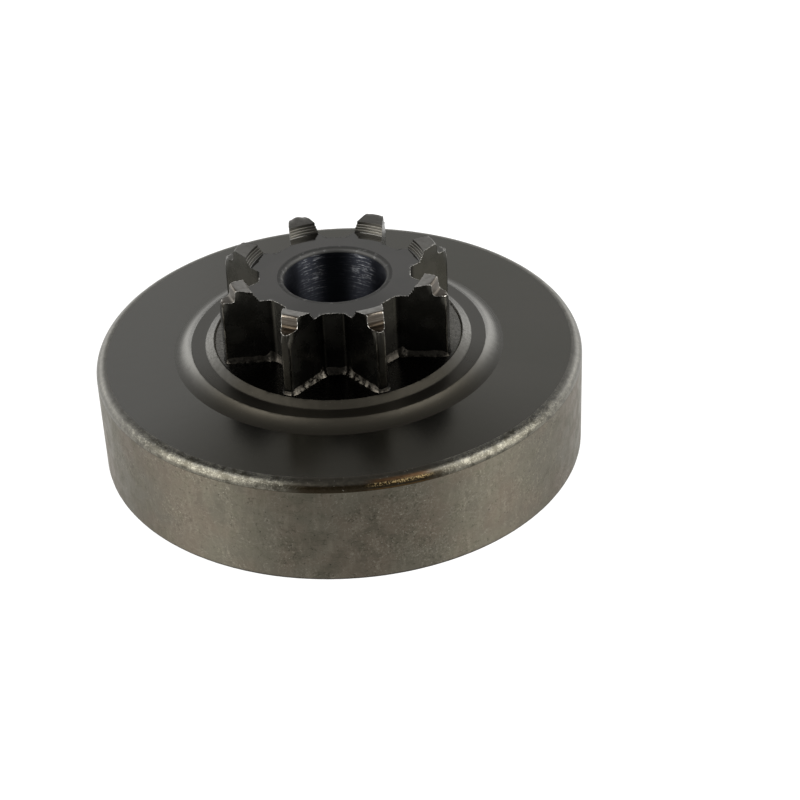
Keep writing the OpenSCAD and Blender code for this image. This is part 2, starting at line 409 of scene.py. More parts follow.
def corner_looks(tree, p, colour, roughness):
    """Worn corner: frosted and nicked, with a sparkling heat tint near the front; painted shade makes it
    brown-black near the front and draws a dark line at its foot, and painted light makes it paler to the
    sides and, with the wall's tone, low down.
    """
    frost = grain(tree, p.mm, 4.5, 3.0, 0.7)
    patch = grain(tree, p.mm, 0.9, 3.0, 0.6)
    scuffs = grain(tree, p.turned(2.5, 0.5, "z"), 1.0, 3.0)
    nicks = specks(tree, p.mm, 1.7, 0.12)
    streak = near_azimuth(tree, p, HEAT_AZ, HEAT_SPAN, HEAT_SPAN * 0.5)
    # Painted shade: this mask darkens the corner to brown-black round the near side, darkest low down.
    brown = near_azimuth(tree, p, CORNER_SHADE_AZ, CORNER_SHADE_SPAN, CORNER_SHADE_SPAN * 0.6)
    # Painted light: this mask makes the corner paler away from the near side.
    side = calc(tree, "SUBTRACT", 1.0, near_azimuth(tree, p, NEAR_SIDE_AZ, 75.0, 40.0))
    sparkle = times(tree, band(tree, p.z, WEB_Z - 0.93, WEB_Z - 0.56, 0.08), streak)
    sparkle = times(tree, sparkle, ramp(tree, frost, 0.46, 0.60))
    glow = times(tree, band(tree, p.z, WEB_Z - 0.55, WEB_Z - 0.22, 0.10), streak)
    foot = times(tree, band(tree, p.z, WEB_Z - 1.42, WEB_Z - 1.28, 0.05), streak)
    # Painted shade: a dark line painted along the foot of the corner, where it meets the wall.
    shade_line = band(tree, p.z, WEB_Z - CORNER_R - 0.08, WEB_Z - CORNER_R + 0.05, 0.04)
    dark = coats(
        tree, rgb(0.022, 0.015, 0.007),
        (ramp(tree, p.z, WEB_Z - 0.72, WEB_Z - 0.35), rgb(0.075, 0.069, 0.057)),
    )
    tint = coats(
        tree, colour,
        (ramp(tree, p.z, WEB_Z - 0.60, WEB_Z - 0.15), rgb(0.115, 0.113, 0.102)),
        # Partly the wall's own tone and partly painted light: this layer makes the lower part of the corner
        # paler.
        (ramp(tree, p.z, WEB_Z - 0.75, WEB_Z - 1.15), rgb(0.175, 0.165, 0.135)),
        (ramp(tree, scuffs, 0.45, 0.7, 0.0, 0.5), rgb(0.130, 0.125, 0.102)),
        (ramp(tree, frost, 0.50, 0.64, 0.0, 0.75), rgb(0.30, 0.29, 0.24)),
        (ramp(tree, patch, 0.50, 0.36, 0.0, 0.75), rgb(0.060, 0.056, 0.044)),
        (ramp(tree, patch, 0.56, 0.66, 0.0, 0.5), rgb(0.26, 0.25, 0.21)),
        (times(tree, side, 0.55), rgb(0.215, 0.212, 0.200)),
        (times(tree, brown, 0.93), dark),
        (times(tree, glow, 0.75), rgb(0.085, 0.042, 0.015)),
        (times(tree, foot, 0.35), rgb(0.20, 0.11, 0.035)),
        (sparkle, rgb(0.42, 0.31, 0.15)),
        (times(tree, nicks, 0.6), rgb(0.50, 0.48, 0.42)),
        (shade_line, rgb(0.05, 0.042, 0.030)),
    )
    rough = ramp(tree, frost, 0.35, 0.65, roughness - 0.08, roughness + 0.08)
    return tint, rough, [(scuffs, 0.004), (frost, 0.004), (nicks, -0.008)]


def wall_looks(tree, p, colour, roughness):
    """Turned side wall with stains, scuffs in clusters, faint runs from the corner down and painted shade
    along its foot.
    """
    wide = grain(tree, p.mm, 0.11, 3.0, 0.55)
    stain = grain(tree, p.mm, 0.40, 5.0, 0.62)
    runs = grain(tree, p.turned(0.30, 1.1, "z"), 1.0, 3.0, 0.6)
    fine = grain(tree, p.mm, 2.6, 4.0, 0.7)
    rings = grain(tree, p.turned(3.5, 0.10, "z"), 1.0, 3.0)
    cluster = ramp(tree, grain(tree, p.mm, 0.16, 2.0), 0.47, 0.62)
    dark = specks(tree, p.mm, 0.8, 0.14)
    light = specks(tree, p.mm, 1.5, 0.16)
    ins = {"Vector": p.mm, "Rotation": (0.4, 0.9, 0.2), "Scale": (0.5, 1.2, 1.6)}
    slant = add(tree, "ShaderNodeMapping", ins).outputs[0]
    scratch = times(tree, hairlines(tree, slant, 0.55, 0.010), ramp(tree, stain, 0.44, 0.56))
    shine = times(tree, hairlines(tree, p.mm, 0.8, 0.012), ramp(tree, stain, 0.58, 0.44))
    scuff = times(tree, ramp(tree, fine, 0.52, 0.68), ramp(tree, cluster, 0.0, 1.0, 0.18, 0.75))
    pits = times(tree, ramp(tree, fine, 0.45, 0.33), ramp(tree, cluster, 0.0, 1.0, 0.15, 0.6))
    tint = coats(
        tree, colour,
        (ramp(tree, wide, 0.40, 0.62), rgb(0.158, 0.136, 0.107)),
        (ramp(tree, stain, 0.46, 0.68, 0.0, 0.55), rgb(0.118, 0.114, 0.087)),
        (ramp(tree, runs, 0.50, 0.72, 0.0, 0.5), rgb(0.205, 0.186, 0.148)),
        (scuff, rgb(0.27, 0.25, 0.20)),
        (pits, rgb(0.070, 0.064, 0.050)),
        (times(tree, scratch, 0.55), rgb(0.065, 0.058, 0.045)),
        (times(tree, shine, 0.35), rgb(0.32, 0.30, 0.25)),
        (times(tree, dark, 0.6), rgb(0.05, 0.045, 0.037)),
        (times(tree, light, times(tree, cluster, 0.7)), rgb(0.40, 0.38, 0.32)),
        # Painted shade: the last layer darkens the wall along its foot.
        (ramp(tree, p.z, RIM_EDGE_R * 1.3, RIM_EDGE_R * 0.6, 0.0, 0.8), rgb(0.035, 0.033, 0.030)),
    )
    rough = spread(tree, stain, roughness, 0.06, 0.08)
    return tint, rough, [(rings, 0.004), (fine, 0.008), (stain, 0.02), (dark, -0.015)]


def inside_looks(tree, p, colour, roughness):
    """Turned steel inside the cup and on the hub."""
    rings = grain(tree, p.turned(4.0, 0.08, "z"), 1.0, 3.0)
    cloud = grain(tree, p.mm, 0.12, 3.0)
    tint = coats(tree, colour, (ramp(tree, cloud, 0.35, 0.65), rgb(0.20, 0.19, 0.17)))
    return tint, spread(tree, cloud, roughness, 0.06, 0.08), [(rings, 0.01)]


# Sprocket materials


def face_looks(tree, p, colour, roughness):
    """Smooth turned thrust face, a little darker near the front with painted shade."""
    rings = grain(tree, p.turned(7.0, 0.05), 1.0, 2.0)
    cloud = grain(tree, p.mm, 0.3, 3.0)
    tint = coats(
        tree, colour,
        (ramp(tree, cloud, 0.35, 0.65), rgb(0.130, 0.128, 0.125)),
        # Painted shade: this layer darkens the face round the near side.
        (near_azimuth(tree, p, NEAR_SIDE_AZ, 70.0, 20.0), rgb(0.095, 0.094, 0.092)),
    )
    return tint, spread(tree, cloud, roughness, 0.03, 0.05), [(rings, 0.0008)]


def entry_looks(tree, p, colour, roughness):
    """Rounded entry of the bore: dull, with a few glints."""
    glint = ramp(tree, grain(tree, p.mm, 1.1, 3.0, 0.6), 0.58, 0.68)
    return coats(tree, colour, (glint, rgb(0.13, 0.13, 0.13))), roughness, []


def prong_looks(tree, p, colour, roughness):
    """Top, outer wall and shoulder of a tooth: grey on top, streaked brown on the walls near the front,
    with painted shade in the shoulder near the front.
    """
    rings = grain(tree, p.turned(6.0, 0.2, "z"), 1.0, 3.0)
    cloud = grain(tree, p.mm, 1.1, 3.0)
    near = near_azimuth(tree, p, NEAR_SIDE_AZ, 95.0, 45.0)
    outer = ramp(tree, p.r, PRONG_OUT_R - 0.45, PRONG_OUT_R - 0.2)
    low = times(tree, ramp(tree, p.z, FACE_Z + 0.75, FACE_Z + 0.40), outer)
    # Painted shade: this mask darkens the low shoulder round the near side.
    shoulder = times(tree, low, near_azimuth(tree, p, NEAR_SIDE_AZ, 75.0, 40.0))
    brown = times(tree, outer, near)
    streak = times(tree, ramp(tree, rings, 0.45, 0.62), brown)
    tint = coats(
        tree, colour,
        (outer, rgb(0.125, 0.123, 0.115)),
        (brown, rgb(0.125, 0.108, 0.090)),
        (streak, rgb(0.20, 0.176, 0.148)),
        (ramp(tree, cloud, 0.45, 0.7, 0.0, 0.4), rgb(0.095, 0.088, 0.078)),
        (times(tree, shoulder, 0.9), rgb(0.038, 0.029, 0.020)),
    )
    relief = [(times(tree, rings, outer), 0.010), (rings, 0.001)]
    return tint, spread(tree, cloud, roughness, 0.05, 0.08), relief


def tread_looks(tree, p, colour, roughness):
    """Stepped inner side of a prong, with fine turning marks that darken it."""
    rings = grain(tree, p.turned(9.0, 0.2, "z"), 1.0, 2.0)
    tint = coats(tree, colour, (ramp(tree, rings, 0.45, 0.65, 0.0, 0.25), rgb(0.06, 0.057, 0.050)))
    return tint, roughness, [(rings, 0.001)]


def flank_looks(tree, p, colour, roughness):
    """Side of a tooth, with painted shade at the bottom of the gap, and darker on the tip's land."""
    cloud = grain(tree, p.mm, 0.35, 3.0)
    tint = coats(
        tree, colour,
        (ramp(tree, cloud, 0.35, 0.7), rgb(0.070, 0.068, 0.060)),
        # Painted shade: this layer darkens the flank toward the bottom of the gap.
        (ramp(tree, p.r, GAP_FLOOR + 0.9, GAP_FLOOR + 0.4, 0.0, 0.5), rgb(0.018, 0.017, 0.015)),
        (ramp(tree, p.r, TIP_R - 0.15, TIP_R - 0.03, 0.0, 0.6), rgb(0.020, 0.018, 0.015)),
    )
    return tint, spread(tree, cloud, roughness, 0.03, 0.03), []


def tip_edge_looks(tree, p, colour, roughness):
    """Rounded upright edges of the tips, with painted highlight streaks in places."""
    painted_edge_sheen = grain(tree, scaled(tree, p.mm, (3.0, 3.0, 0.5)), 1.0, 3.0)
    # Painted highlight: streaks of the lighter given colour stand for highlights along the rounded edges.
    tint = coats(tree, rgb(0.026, 0.024, 0.020), (ramp(tree, painted_edge_sheen, 0.48, 0.62), colour))
    return tint, roughness, [(painted_edge_sheen, 0.01)]


def burr_looks(tree, p, colour, roughness):
    """Burrs on the edges of the near teeth, painted bright as highlights; the far edges are as dull as the
    face.
    """
    chips = grain(tree, p.mm, 3.5, 3.0, 0.6)
    # Painted highlight: near-white chips on the burrs.
    bright = coats(tree, colour, (ramp(tree, chips, 0.44, 0.62), rgb(0.85, 0.83, 0.79)))
    # Painted highlight: the bright burrs are kept to the near teeth.
    near = near_azimuth(tree, p, NEAR_SIDE_AZ, 125.0, 95.0)
    tint = coats(tree, rgb(0.12, 0.118, 0.114), (near, bright))
    return tint, spread(tree, chips, roughness, 0.1, 0.15), [(chips, 0.03)]


def bore_looks(tree, p, colour, roughness):
    """Dark bore with fine rings and scratches, painted bright as highlights in two streaks that fade out
    downward.
    """
    marks = grain(tree, p.turned(4.5, 0.5, "z"), 1.0, 4.0, 0.7)
    scrape = grain(tree, p.turned(1.0, 1.8, "z"), 1.0, 3.0)
    # Painted highlight: the scratches are painted brighter in two streaks and fade out downward.
    left, right = [near_azimuth(tree, p, azimuth, 22.0, 5.0) for azimuth in SHEEN_STREAK_AZ]
    bright = times(tree, ramp(tree, marks, 0.50, 0.62), ramp(tree, scrape, 0.40, 0.60, 0.3, 1.0))
    bright = times(tree, bright, ramp(tree, p.z, FACE_Z - 9.0, FACE_Z - 2.0, 0.15, 1.0))
    bright = times(tree, bright, ramp(tree, calc(tree, "MAXIMUM", left, right), 0.0, 1.0, 0.12, 1.0))
    tint = coats(tree, colour, (bright, rgb(0.195, 0.202, 0.218)))
    return tint, spread(tree, scrape, roughness, 0.04, 0.05), [(marks, 0.004), (scrape, 0.003)]


def braze_looks(tree, p, colour, roughness):
    """Dark lumpy filler, with painted highlights and bright flecks in the near gap and in the corners of
    the gaps.
    """
    lumps = grain(tree, p.mm, 1.6, 3.0, 0.6)
    wide = grain(tree, p.mm, 0.22, 2.0)
    fleck = specks(tree, p.mm, 2.2, 0.2)
    # Painted highlight: the filler is made lighter, with bright flecks, in the near gap and in the corners
    # of the gaps.
    near_gap = ramp(tree, near_azimuth(tree, p, FIRST_GAP, 25.0, 21.0), 0.0, 1.0, 0.12, 1.0)
    nook = ramp(tree, p.r, GAP_FLOOR + 1.6, GAP_FLOOR + 1.1, 0.0, 0.9)
    painted_sheen = times(tree, ramp(tree, wide, 0.42, 0.58, 0.3, 1.0), ramp(tree, lumps, 0.36, 0.62))
    painted_sheen = times(tree, painted_sheen, calc(tree, "MAXIMUM", near_gap, nook))
    painted_sheen = times(tree, painted_sheen, ramp(tree, p.r, GAP_FLOOR + 0.5, GAP_FLOOR + 0.9, 0.1, 1.0))
    tint = coats(
        tree, colour,
        (painted_sheen, rgb(0.18, 0.165, 0.140)),
        (times(tree, fleck, times(tree, painted_sheen, 0.5)), rgb(0.42, 0.39, 0.33)),
    )
    return tint, spread(tree, lumps, roughness, 0.08, 0.15), [(lumps, 0.025)]


DRUM_ZONES = {
    "web": metal("web_satin_steel", rgb(0.124, 0.123, 0.111), 0.17, web_looks),
    "boss": metal("boss_turned_steel", rgb(0.125, 0.123, 0.115), 0.16, boss_looks),
    "flank": metal("boss_flank_steel", rgb(0.150, 0.148, 0.139), 0.27, boss_looks),
    # The seat's given colour is the black of its painted shade near the front.
    "seat": metal("seat_rough_steel", rgb(0.012, 0.011, 0.010), 0.26, seat_looks),
    "corner": metal("corner_worn_steel", rgb(0.075, 0.071, 0.058), 0.36, corner_looks),
    "wall": metal("wall_stained_steel", rgb(0.152, 0.141, 0.112), 0.42, wall_looks, brushed=0.8),
    "inside": metal("cup_turned_steel", rgb(0.15, 0.145, 0.13), 0.34, inside_looks, brushed=0.5),
}
SPROCKET_ZONES = {
    "face": metal("thrust_face_steel", rgb(0.122, 0.121, 0.118), 0.07, face_looks),
    "prong": metal("prong_turned_steel", rgb(0.225, 0.220, 0.208), 0.34, prong_looks),
    "edge": metal("tread_edge_steel", rgb(0.190, 0.183, 0.165), 0.30, tread_looks),
    "entry": metal("bore_entry_steel", rgb(0.070, 0.070, 0.069), 0.60, entry_looks),
    # The worn zone holds the rounded upright tip edges, painted with highlight streaks.
    "worn": metal("tip_edge_steel", rgb(0.110, 0.104, 0.090), 0.27, tip_edge_looks),
    "tread": metal("prong_inner_steel", rgb(0.075, 0.072, 0.064), 0.30, tread_looks),
    "flank": metal("tooth_flank_steel", rgb(0.055, 0.054, 0.047), 0.27, flank_looks),
    "burr": metal("burr_steel_painted_sheen", rgb(0.20, 0.195, 0.18), 0.30, burr_looks),
    "bore": metal("bore_dark_steel", rgb(0.022, 0.024, 0.031), 0.52, bore_looks, brushed=0.98),
    "hub": metal("hub_steel", rgb(0.13, 0.125, 0.115), 0.34, inside_looks, brushed=0.5),
}
BRAZE = metal("braze_filler", rgb(0.022, 0.020, 0.017), 0.30, braze_looks)


# Drum mesh


def drum_section():
    """Closed half section of the drum as (radius, height, zone up to the next point, depth of nicks)."""
    flank_r = (FLANK_W ** 2 + BOSS_H ** 2) / (2 * BOSS_H)
    flank_end = math.degrees(math.asin(FLANK_W / flank_r))
    cup_h = WEB_Z - WEB_T
    recess_h = SEAT_Z - WEB_T
    edge = 0.05
    section = []

    def run(points, zone, nick=0.0):
        section.extend((r, z, zone, nick) for r, z in points)

    run(arc(DRUM_R - RIM_EDGE_R, RIM_EDGE_R, RIM_EDGE_R, -90, 0, 5), "wall", 0.015)
    run(stretch((DRUM_R, 0.8), (DRUM_R, WEB_Z - CORNER_R - 0.3), 16), "wall", 0.006)
    run(arc(DRUM_R - CORNER_R, WEB_Z - CORNER_R, CORNER_R, 0, 90, 14), "corner", 0.006)
    run(stretch((DRUM_R - CORNER_R - 0.12, WEB_Z), (LAND_OUT_R + FLANK_W + 0.1, WEB_Z), 10), "web", 0.004)
    flank_top = -90 - flank_end * 0.985
    run(arc(LAND_OUT_R + FLANK_W, WEB_Z + flank_r, flank_r, -90, flank_top, 14), "flank", 0.006)
    run([(LAND_OUT_R + edge * 0.3, LAND_Z - edge * 0.4), (LAND_OUT_R - edge, LAND_Z)], "boss", 0.012)
    run(stretch((LAND_OUT_R - 0.2, LAND_Z), (LAND_IN_R + 0.12, LAND_Z), 4), "boss", 0.002)
    run([(LAND_IN_R + 0.03, LAND_Z + 0.01), (LAND_IN_R - 0.04, LAND_Z + 0.03)], "flank", 0.006)
    run(stretch((LAND_IN_R - 0.15, LAND_Z + 0.1), (CREST_R + 0.1, CREST_Z - 0.06), 4), "flank", 0.012)
    run([(CREST_R + 0.02, CREST_Z - 0.01), (CREST_R - 0.06, CREST_Z - 0.02)], "seat", 0.03)
    run(stretch((SEAT_R + 0.05, SEAT_Z + 0.04), (HUB_R + HUB_PLAY + 0.2, SEAT_Z), 10), "seat", 0.02)
    run(stretch((HUB_R + HUB_PLAY, SEAT_Z), (HUB_R + HUB_PLAY, recess_h), 3), "inside")
    run(stretch((HUB_R + HUB_PLAY + 0.2, recess_h), (RECESS_R, recess_h), 5), "inside")
    run(stretch((RECESS_R + 0.1, recess_h - 0.13), (RECESS_R + RECESS_SLOPE_W, cup_h), 2), "inside")
    recess_out = RECESS_R + RECESS_SLOPE_W
    run(stretch((recess_out + 0.2, cup_h), (CUP_R - INNER_CORNER_R - 0.1, cup_h), 4), "inside")
    run(arc(CUP_R - INNER_CORNER_R, cup_h - INNER_CORNER_R, INNER_CORNER_R, 90, 0, 8), "inside")
    run(stretch((CUP_R, cup_h - INNER_CORNER_R - 0.3), (CUP_R, 0.8), 6), "inside", 0.003)
    run(arc(CUP_R + RIM_EDGE_R, RIM_EDGE_R, RIM_EDGE_R, 180, 270, 4), "wall", 0.01)
    run(stretch((CUP_R + RIM_EDGE_R + 0.3, 0.0), (DRUM_R - RIM_EDGE_R - 0.3, 0.0), 2), "wall")
    return section


def lathe(section, around):
    """Points and faces of a closed section turned round the axis, nicked where the section says."""
    points, faces, zones = [], [], []
    for seed, (r, z, _, nick) in enumerate(section):
        for j in range(around):
            a = 2 * math.pi * j / around
            x, y = r * math.cos(a), r * math.sin(a)
            if nick:
                bite = min(0.0, ripple(x, y, z, 0.9, 1) + 0.35 * ripple(x, y, z, 0.35, 2) - 0.15)
                push = nick * (1.6 * bite + 0.35 * ripple(x, y, z, 2.5, 3))
                push = min(push, 0.0)
                x, y = x * (1 + push / r), y * (1 + push / r)
                points.append((x, y, z + push if z > 1 else z))
            else:
                points.append((x, y, z))
    names = list(DRUM_ZONES)
    rings = len(section)
    for i in range(rings):
        k = (i + 1) % rings
        zone = names.index(section[i][2])
        for j in range(around):
            m = (j + 1) % around
            faces.append((i * around + j, i * around + m, k * around + m, k * around + j))
            zones.append(zone)
    return points, faces, zones


def make_drum():
    """The drum, as one mesh turned from its half section."""
    points, faces, zones = lathe(drum_section(), 720)
    new_piece("drum_body", points, faces, zones, DRUM_ZONES.values(), "clutch_drum", 28)


# Sprocket mesh


def top_profile():
    """The turned top of the sprocket as (radius, height, zone up to the next point)."""
    ridge_r = PRONG_OUT_R - PRONG_TOP_R
    crease_z = PRONG_Z - TOP_FALL
    step_w = (PRONG_IN_R - FACE_R) / STEP_N
    worn = 0.03
    rows = []

    def run(points, zone):
        rows.extend((r, z, zone) for r, z in points)

    run(arc(BORE_R + BORE_ENTRY_R, FACE_Z - BORE_ENTRY_R, BORE_ENTRY_R, 180, 90, 7), "entry")
    run([(r, FACE_Z) for r in (8.4, 9.2, 10.0, 10.7, 11.9, FACE_R - worn)], "face")
    for k in range(STEP_N):
        r, z = FACE_R + k * step_w, FACE_Z + k * STEP_H
        run([(r, z + worn), (r + 0.01, z + STEP_H - worn)], "tread")
        run([(r + worn, z + STEP_H), (r + step_w - worn, z + STEP_H)], "edge")
    run([(PRONG_IN_R, FACE_Z + STEP_N * STEP_H + worn), (PRONG_IN_R + 0.01, crease_z - 3 * worn)], "tread")
    run([(PRONG_IN_R + worn, crease_z - worn)], "prong")
    run(stretch((PRONG_IN_R + 4 * worn, crease_z), (ridge_r, PRONG_Z), 4)[:-1], "prong")
    run(arc(ridge_r, PRONG_Z - PRONG_TOP_R, PRONG_TOP_R, 90, 8, 6), "prong")
    wall_z = FACE_Z + SHOULDER_FILLET
    run([(PRONG_OUT_R + 0.01, PRONG_Z - PRONG_TOP_R - 0.2), (PRONG_OUT_R + 0.05, wall_z + 0.35)], "prong")
    run(arc(SHOULDER_R + SHOULDER_FILLET, wall_z, SHOULDER_FILLET, 185, 265, 5), "prong")
    run([(r, FACE_Z) for r in (SHOULDER_R + SHOULDER_FILLET + 0.1, 16.7, TIP_R - LIP_W)], "prong")
    lip_fall = ((17.25, 0.04), (17.4, 0.09), (17.5, 0.12), (TIP_R, LIP_DROP))
    run([(r, FACE_Z - drop) for r, drop in lip_fall], "prong")
    return rows


def half_gap(inset, radii):
    """Half outline of a gap, from its middle to the middle of a tooth, as points and outward normals.

    The points lie inset from the true outline, and one falls on each of the radii.
    """
    arc_x = GAP_FLOOR + GAP_R
    tip = (TIP_R * cosd(TIP_EDGE_ANGLE), TIP_R * sind(TIP_EDGE_ANGLE))
    arc_y = tip[1] + ((arc_x - tip[0]) * sind(WALL_DIR) - GAP_R) / cosd(WALL_DIR)
    rows = [((GAP_FLOOR - inset, arc_y * k / 5), (1.0, 0.0)) for k in range(5)]
    for k in range(8):
        a = (90 - WALL_DIR) * k / 7
        r = GAP_R + inset
        rows.append(((arc_x - r * cosd(a), arc_y + r * sind(a)), (cosd(a), -sind(a))))
    wall = (cosd(WALL_DIR), sind(WALL_DIR))
    side = (wall[1], -wall[0])
    foot = (tip[0] - inset * side[0], tip[1] - inset * side[1])
    away = foot[0] * side[0] + foot[1] * side[1]
    last = rows[-1][0]
    start = last[0] * wall[0] + last[1] * wall[1]
    edge_off = TIP_R * math.sin(math.radians(WALL_DIR - TIP_EDGE_ANGLE)) - TIP_EDGE_R
    end = math.sqrt((TIP_R - TIP_EDGE_R) ** 2 - edge_off ** 2)
    edge = (edge_off * side[0] + end * wall[0], edge_off * side[1] + end * wall[1])
    edge_dir = math.degrees(math.atan2(edge[1], edge[0]))
    stops = [math.sqrt(r * r - away * away) for r in radii if r * r > away * away]
    stops = sorted(t for t in stops if start + 0.01 < t < end - 0.05)
    stops.append(end)
    walked = [start]
    for t in stops:
        n = max(1, math.ceil((t - walked[-1]) / 0.22))
        walked.extend(walked[-1] + (t - walked[-1]) * k / n for k in range(1, n + 1))
    for t in walked[1:]:
        rows.append(((away * side[0] + t * wall[0], away * side[1] + t * wall[1]), side))
    for k in range(1, 5):
        a = WALL_DIR - 90 + (edge_dir - WALL_DIR + 90) * k / 4
        r = TIP_EDGE_R - inset
        rows.append(((edge[0] + r * cosd(a), edge[1] + r * sind(a)), (cosd(a), sind(a))))
    left = PITCH / 2 - edge_dir
    r = TIP_R - inset
    for share in (0.25, 0.5, 0.75, 1.0):
        a = edge_dir + left * share
        rows.append(((r * cosd(a), r * sind(a)), (cosd(a), sind(a))))
    return rows


def star_stations(inset, radii):
    """The whole outline of the star as (x, y, nx, ny), once round the axis."""
    half = half_gap(inset, radii)
    flipped = [((x, -y), (nx, -ny)) for (x, y), (nx, ny) in reversed(half[1:])]
    stations = []
    for i in range(TOOTH_N):
        c, s = cosd(FIRST_GAP + i * PITCH), sind(FIRST_GAP + i * PITCH)
        for (x, y), (nx, ny) in flipped + half[:-1]:
            stations.append((c * x - s * y, s * x + c * y, c * nx - s * ny, s * nx + c * ny))
    return stations


def half_width_angle(r):
    """Half the width of a tooth at a radius, as an angle at the axis."""
    away = TIP_R * sind(WALL_DIR - TIP_EDGE_ANGLE)
    return PITCH / 2 - WALL_DIR + math.degrees(math.asin(away / r))


def on_rounded_edge(a, b):
    """True for the strip between two stations that lies on a rounded upright edge of a tip."""
    turns = math.dist(a[2:], b[2:]) > 1e-6
    tip_land = all(math.hypot(x, y) - (x * nx + y * ny) < 1e-6 for x, y, nx, ny in (a, b))
    return turns and not tip_land and math.hypot(*a[:2]) > SHOULDER_R


def wear(x, y, z):
    """A point moved by the wear on the outer corners of prongs and tips, which is more on one tooth."""
    azimuth = math.degrees(math.atan2(y, x))
    tooth = FIRST_GAP + PITCH * (round((azimuth - FIRST_GAP) / PITCH - 0.5) + 0.5)
    side = 1 if azimuth > tooth else -1
    worn_tooth = abs(tooth - WORN_TOOTH_AZ) < 1
    for r, height, reach, aside, inward, down in (WORN_CORNER if worn_tooth else PRONG_CORNER, TIP_CORNER):
        a = tooth + side * half_width_angle(r)
        away = math.dist((x, y, z), (r * cosd(a), r * sind(a), height))
        share = max(0.0, 1 - away / reach) ** 1.6 * min(1.0, abs(azimuth - tooth) / 1.2)
        x += share * (side * aside * sind(a) - inward * cosd(a))
        y -= share * (side * aside * cosd(a) + inward * sind(a))
        z -= share * down
    return x, y, z


def make_sprocket():
    """The sprocket, as one mesh of spokes over its top and columns down its flanks and up the bore."""
    inset = 0.06
    profile = top_profile()
    radii = [row[0] for row in profile]
    heights = [row[1] for row in profile]
    stations = star_stations(inset, radii)
    names = list(SPROCKET_ZONES)
    points, faces, zones = [], [], []
    spokes = []
    walls = []
    wall_shares = (0.0, 0.012, 0.05, 0.14, 0.26, 0.40, 0.55, 0.70, 0.85, 1.0)

    def put(x, y, z):
        points.append(wear(x, y, z))
        return len(points) - 1

    def face(corners, zone):
        kept = [v for k, v in enumerate(corners) if v != corners[k - 1]]
        if len(kept) > 2:
            faces.append(tuple(kept))
            zones.append(names.index(zone))

    for x, y, nx, ny in stations:
        reach = math.hypot(x, y)
        ux, uy = x / reach, y / reach
        spoke = [put(ux * r, uy * r, z) for r, z in zip(radii, heights) if r < reach - 1e-4]
        z_in = float(np.interp(reach, radii, heights))
        spoke.append(put(x, y, z_in))
        spokes.append(spoke)
        rag = ripple(x, y, 0.0, 0.45, 4) + 0.5 * ripple(x, y, 0.0, 0.2, 5)
        burr = max(0.0, rag + 0.1) * (1.0 if ny < 0.25 else 0.35)
        ox, oy = x + nx * inset, y + ny * inset
        z_out = float(np.interp(min(math.hypot(ox, oy), TIP_R), radii, heights))
        crest_z = (min(z_in, z_out) + z_in) / 2 + 0.07 * burr
        crest = put(x + nx * inset * 0.6, y + ny * inset * 0.6, crest_z)
        hang = 0.05 * burr
        lip = put(ox + nx * hang, oy + ny * hang, z_out + 0.02 * burr)
        column = [spoke[-1], crest, lip]
        top = z_out - 0.05
        for share in wall_shares:
            out = hang * (0.6 if share == 0.0 else 0.15 if share < 0.02 else 0.0)
            z = top + (SEAT_Z - top) * share
            wave = 0.012 * ripple(x, y, z, 1.4, 6)
            column.append(put(ox + nx * (out + wave), oy + ny * (out + wave), z))
        column.append(put(ux * HUB_R, uy * HUB_R, SEAT_Z))
        column.append(put(ux * HUB_R, uy * HUB_R, HUB_Z + HUB_CHAMFER))
        column.append(put(ux * (HUB_R - HUB_CHAMFER), uy * (HUB_R - HUB_CHAMFER), HUB_Z))
        column.append(put(ux * (BORE_R + BORE_CHAMFER), uy * (BORE_R + BORE_CHAMFER), HUB_Z))
        bore_steps = 8
        for k in range(bore_steps):
            z = HUB_Z + BORE_CHAMFER + (FACE_Z - BORE_ENTRY_R - HUB_Z - BORE_CHAMFER) * k / bore_steps
            column.append(put(ux * BORE_R, uy * BORE_R, z))
        column.append(spoke[0])
        walls.append(column)

    column_zones = ["burr", "burr", "burr"] + ["flank"] * (len(wall_shares) - 1) + ["hub"] * 5
    count = len(stations)
    for i in range(count):
        a, b = spokes[i], spokes[(i + 1) % count]
        shared = min(len(a), len(b))
        for j in range(shared - 1):
            face((a[j], a[j + 1], b[j + 1], b[j]), profile[j][2])
        for j in range(shared - 1, len(b) - 1):
            face((a[-1], b[j + 1], b[j]), profile[j][2])
        for j in range(shared - 1, len(a) - 1):
            face((a[j], a[j + 1], b[-1]), profile[j][2])
        a, b = walls[i], walls[(i + 1) % count]
        worn = on_rounded_edge(stations[i], stations[(i + 1) % count])
        for j in range(len(a) - 1):
            zone = column_zones[j] if j < len(column_zones) else "bore"
            # Rounded tip edges go to the zone with painted highlight streaks.
            if worn and zone == "flank":
                zone = "worn"
            face((a[j], a[j + 1], b[j + 1], b[j]), zone)
    looks = SPROCKET_ZONES.values()
    new_piece("sprocket_body", points, faces, zones, looks, "spur_sprocket", 32)


# Braze mesh


